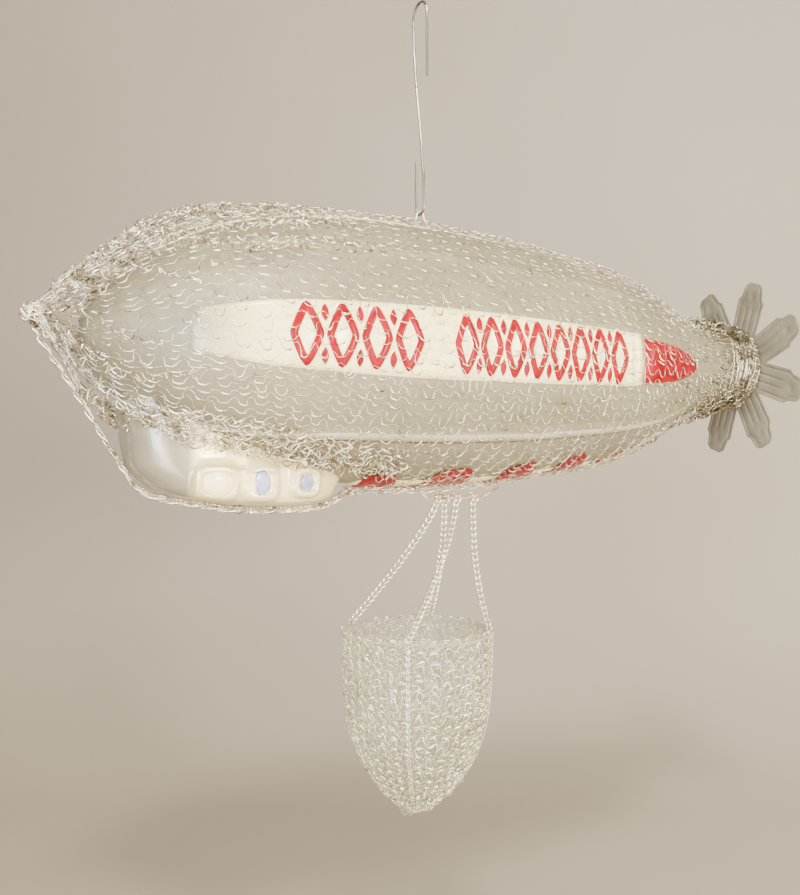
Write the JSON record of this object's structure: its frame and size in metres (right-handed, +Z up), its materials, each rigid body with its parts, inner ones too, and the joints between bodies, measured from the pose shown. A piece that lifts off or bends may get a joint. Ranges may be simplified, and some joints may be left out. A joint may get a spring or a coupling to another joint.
{
  "type": "glass airship tree ornament",
  "caption": "Hanging tree ornament: a blown glass airship in a knitted wire net, with a wire hook, a turning star propeller and a swinging wire basket.",
  "frame": {"origin": "top of the inside of the hook's upper loop, the point that rests on a branch", "axes": "+Z up, +X from the nose towards the tail star, Y across the ship with port at -Y"},
  "size_m": [0.1928, 0.063, 0.1911],
  "materials": {
    "steel_wire": "satin",
    "silver_wire": "bright crinkled wire",
    "frosted_glass": "silvered inside, frosted outside",
    "cream_glass": "silvered and lacquered cream",
    "lilac_glass": "lilac paint on glass",
    "red_glass": "red paint on glass",
    "pressed_foil": "dull pressed foil card"
  },
  "bodies": {
    "hook": {"hook": "steel_wire"},
    "airship": {"hull": "frosted_glass", "gondola": "cream_glass", "hull_net": "silver_wire", "top_eye": "silver_wire", "nose_knot": "silver_wire", "chin_strand": "silver_wire", "tail_binding": "silver_wire", "tail_cap": "pressed_foil", "star_pin": "steel_wire", "keel_wire": "silver_wire", "window_port_front": "cream_glass", "window_port_middle": "lilac_glass", "window_port_rear": "lilac_glass", "window_starboard_front": "cream_glass", "window_starboard_middle": "lilac_glass", "window_starboard_rear": "lilac_glass", "panel_port": "cream_glass", "patch_port": "red_glass", "panel_top": "cream_glass", "patch_top": "red_glass", "panel_starboard": "cream_glass", "patch_starboard": "red_glass", "panel_keel": "cream_glass", "patch_keel": "red_glass"},
    "propeller": {"propeller_star": "pressed_foil"},
    "basket": {"basket_rim": "silver_wire", "basket_net": "silver_wire", "basket_knot": "silver_wire", "stay_fore": "silver_wire", "basket_rib_fore": "silver_wire", "stay_starboard": "silver_wire", "basket_rib_starboard": "silver_wire", "stay_port": "silver_wire", "basket_rib_port": "silver_wire", "stay_aft": "silver_wire", "basket_rib_aft": "silver_wire"}
  },
  "joints": [
    {"name": "ship_pitch", "type": "hinge", "parent": "hook", "child": "airship", "pos_m": [0, 0, -0.04983], "axis": [0, 1, 0], "range_deg": [-30, 30]},
    {"name": "star_spin", "type": "hinge", "parent": "airship", "child": "propeller", "pos_m": [0.1024, 0, -0.0824], "axis": [1, 0, 0], "continuous": true},
    {"name": "basket_swing", "type": "hinge", "parent": "airship", "child": "basket", "pos_m": [0, 0, -0.1169], "axis": [1, 0, 0], "range_deg": [-35, 35]}
  ]
}
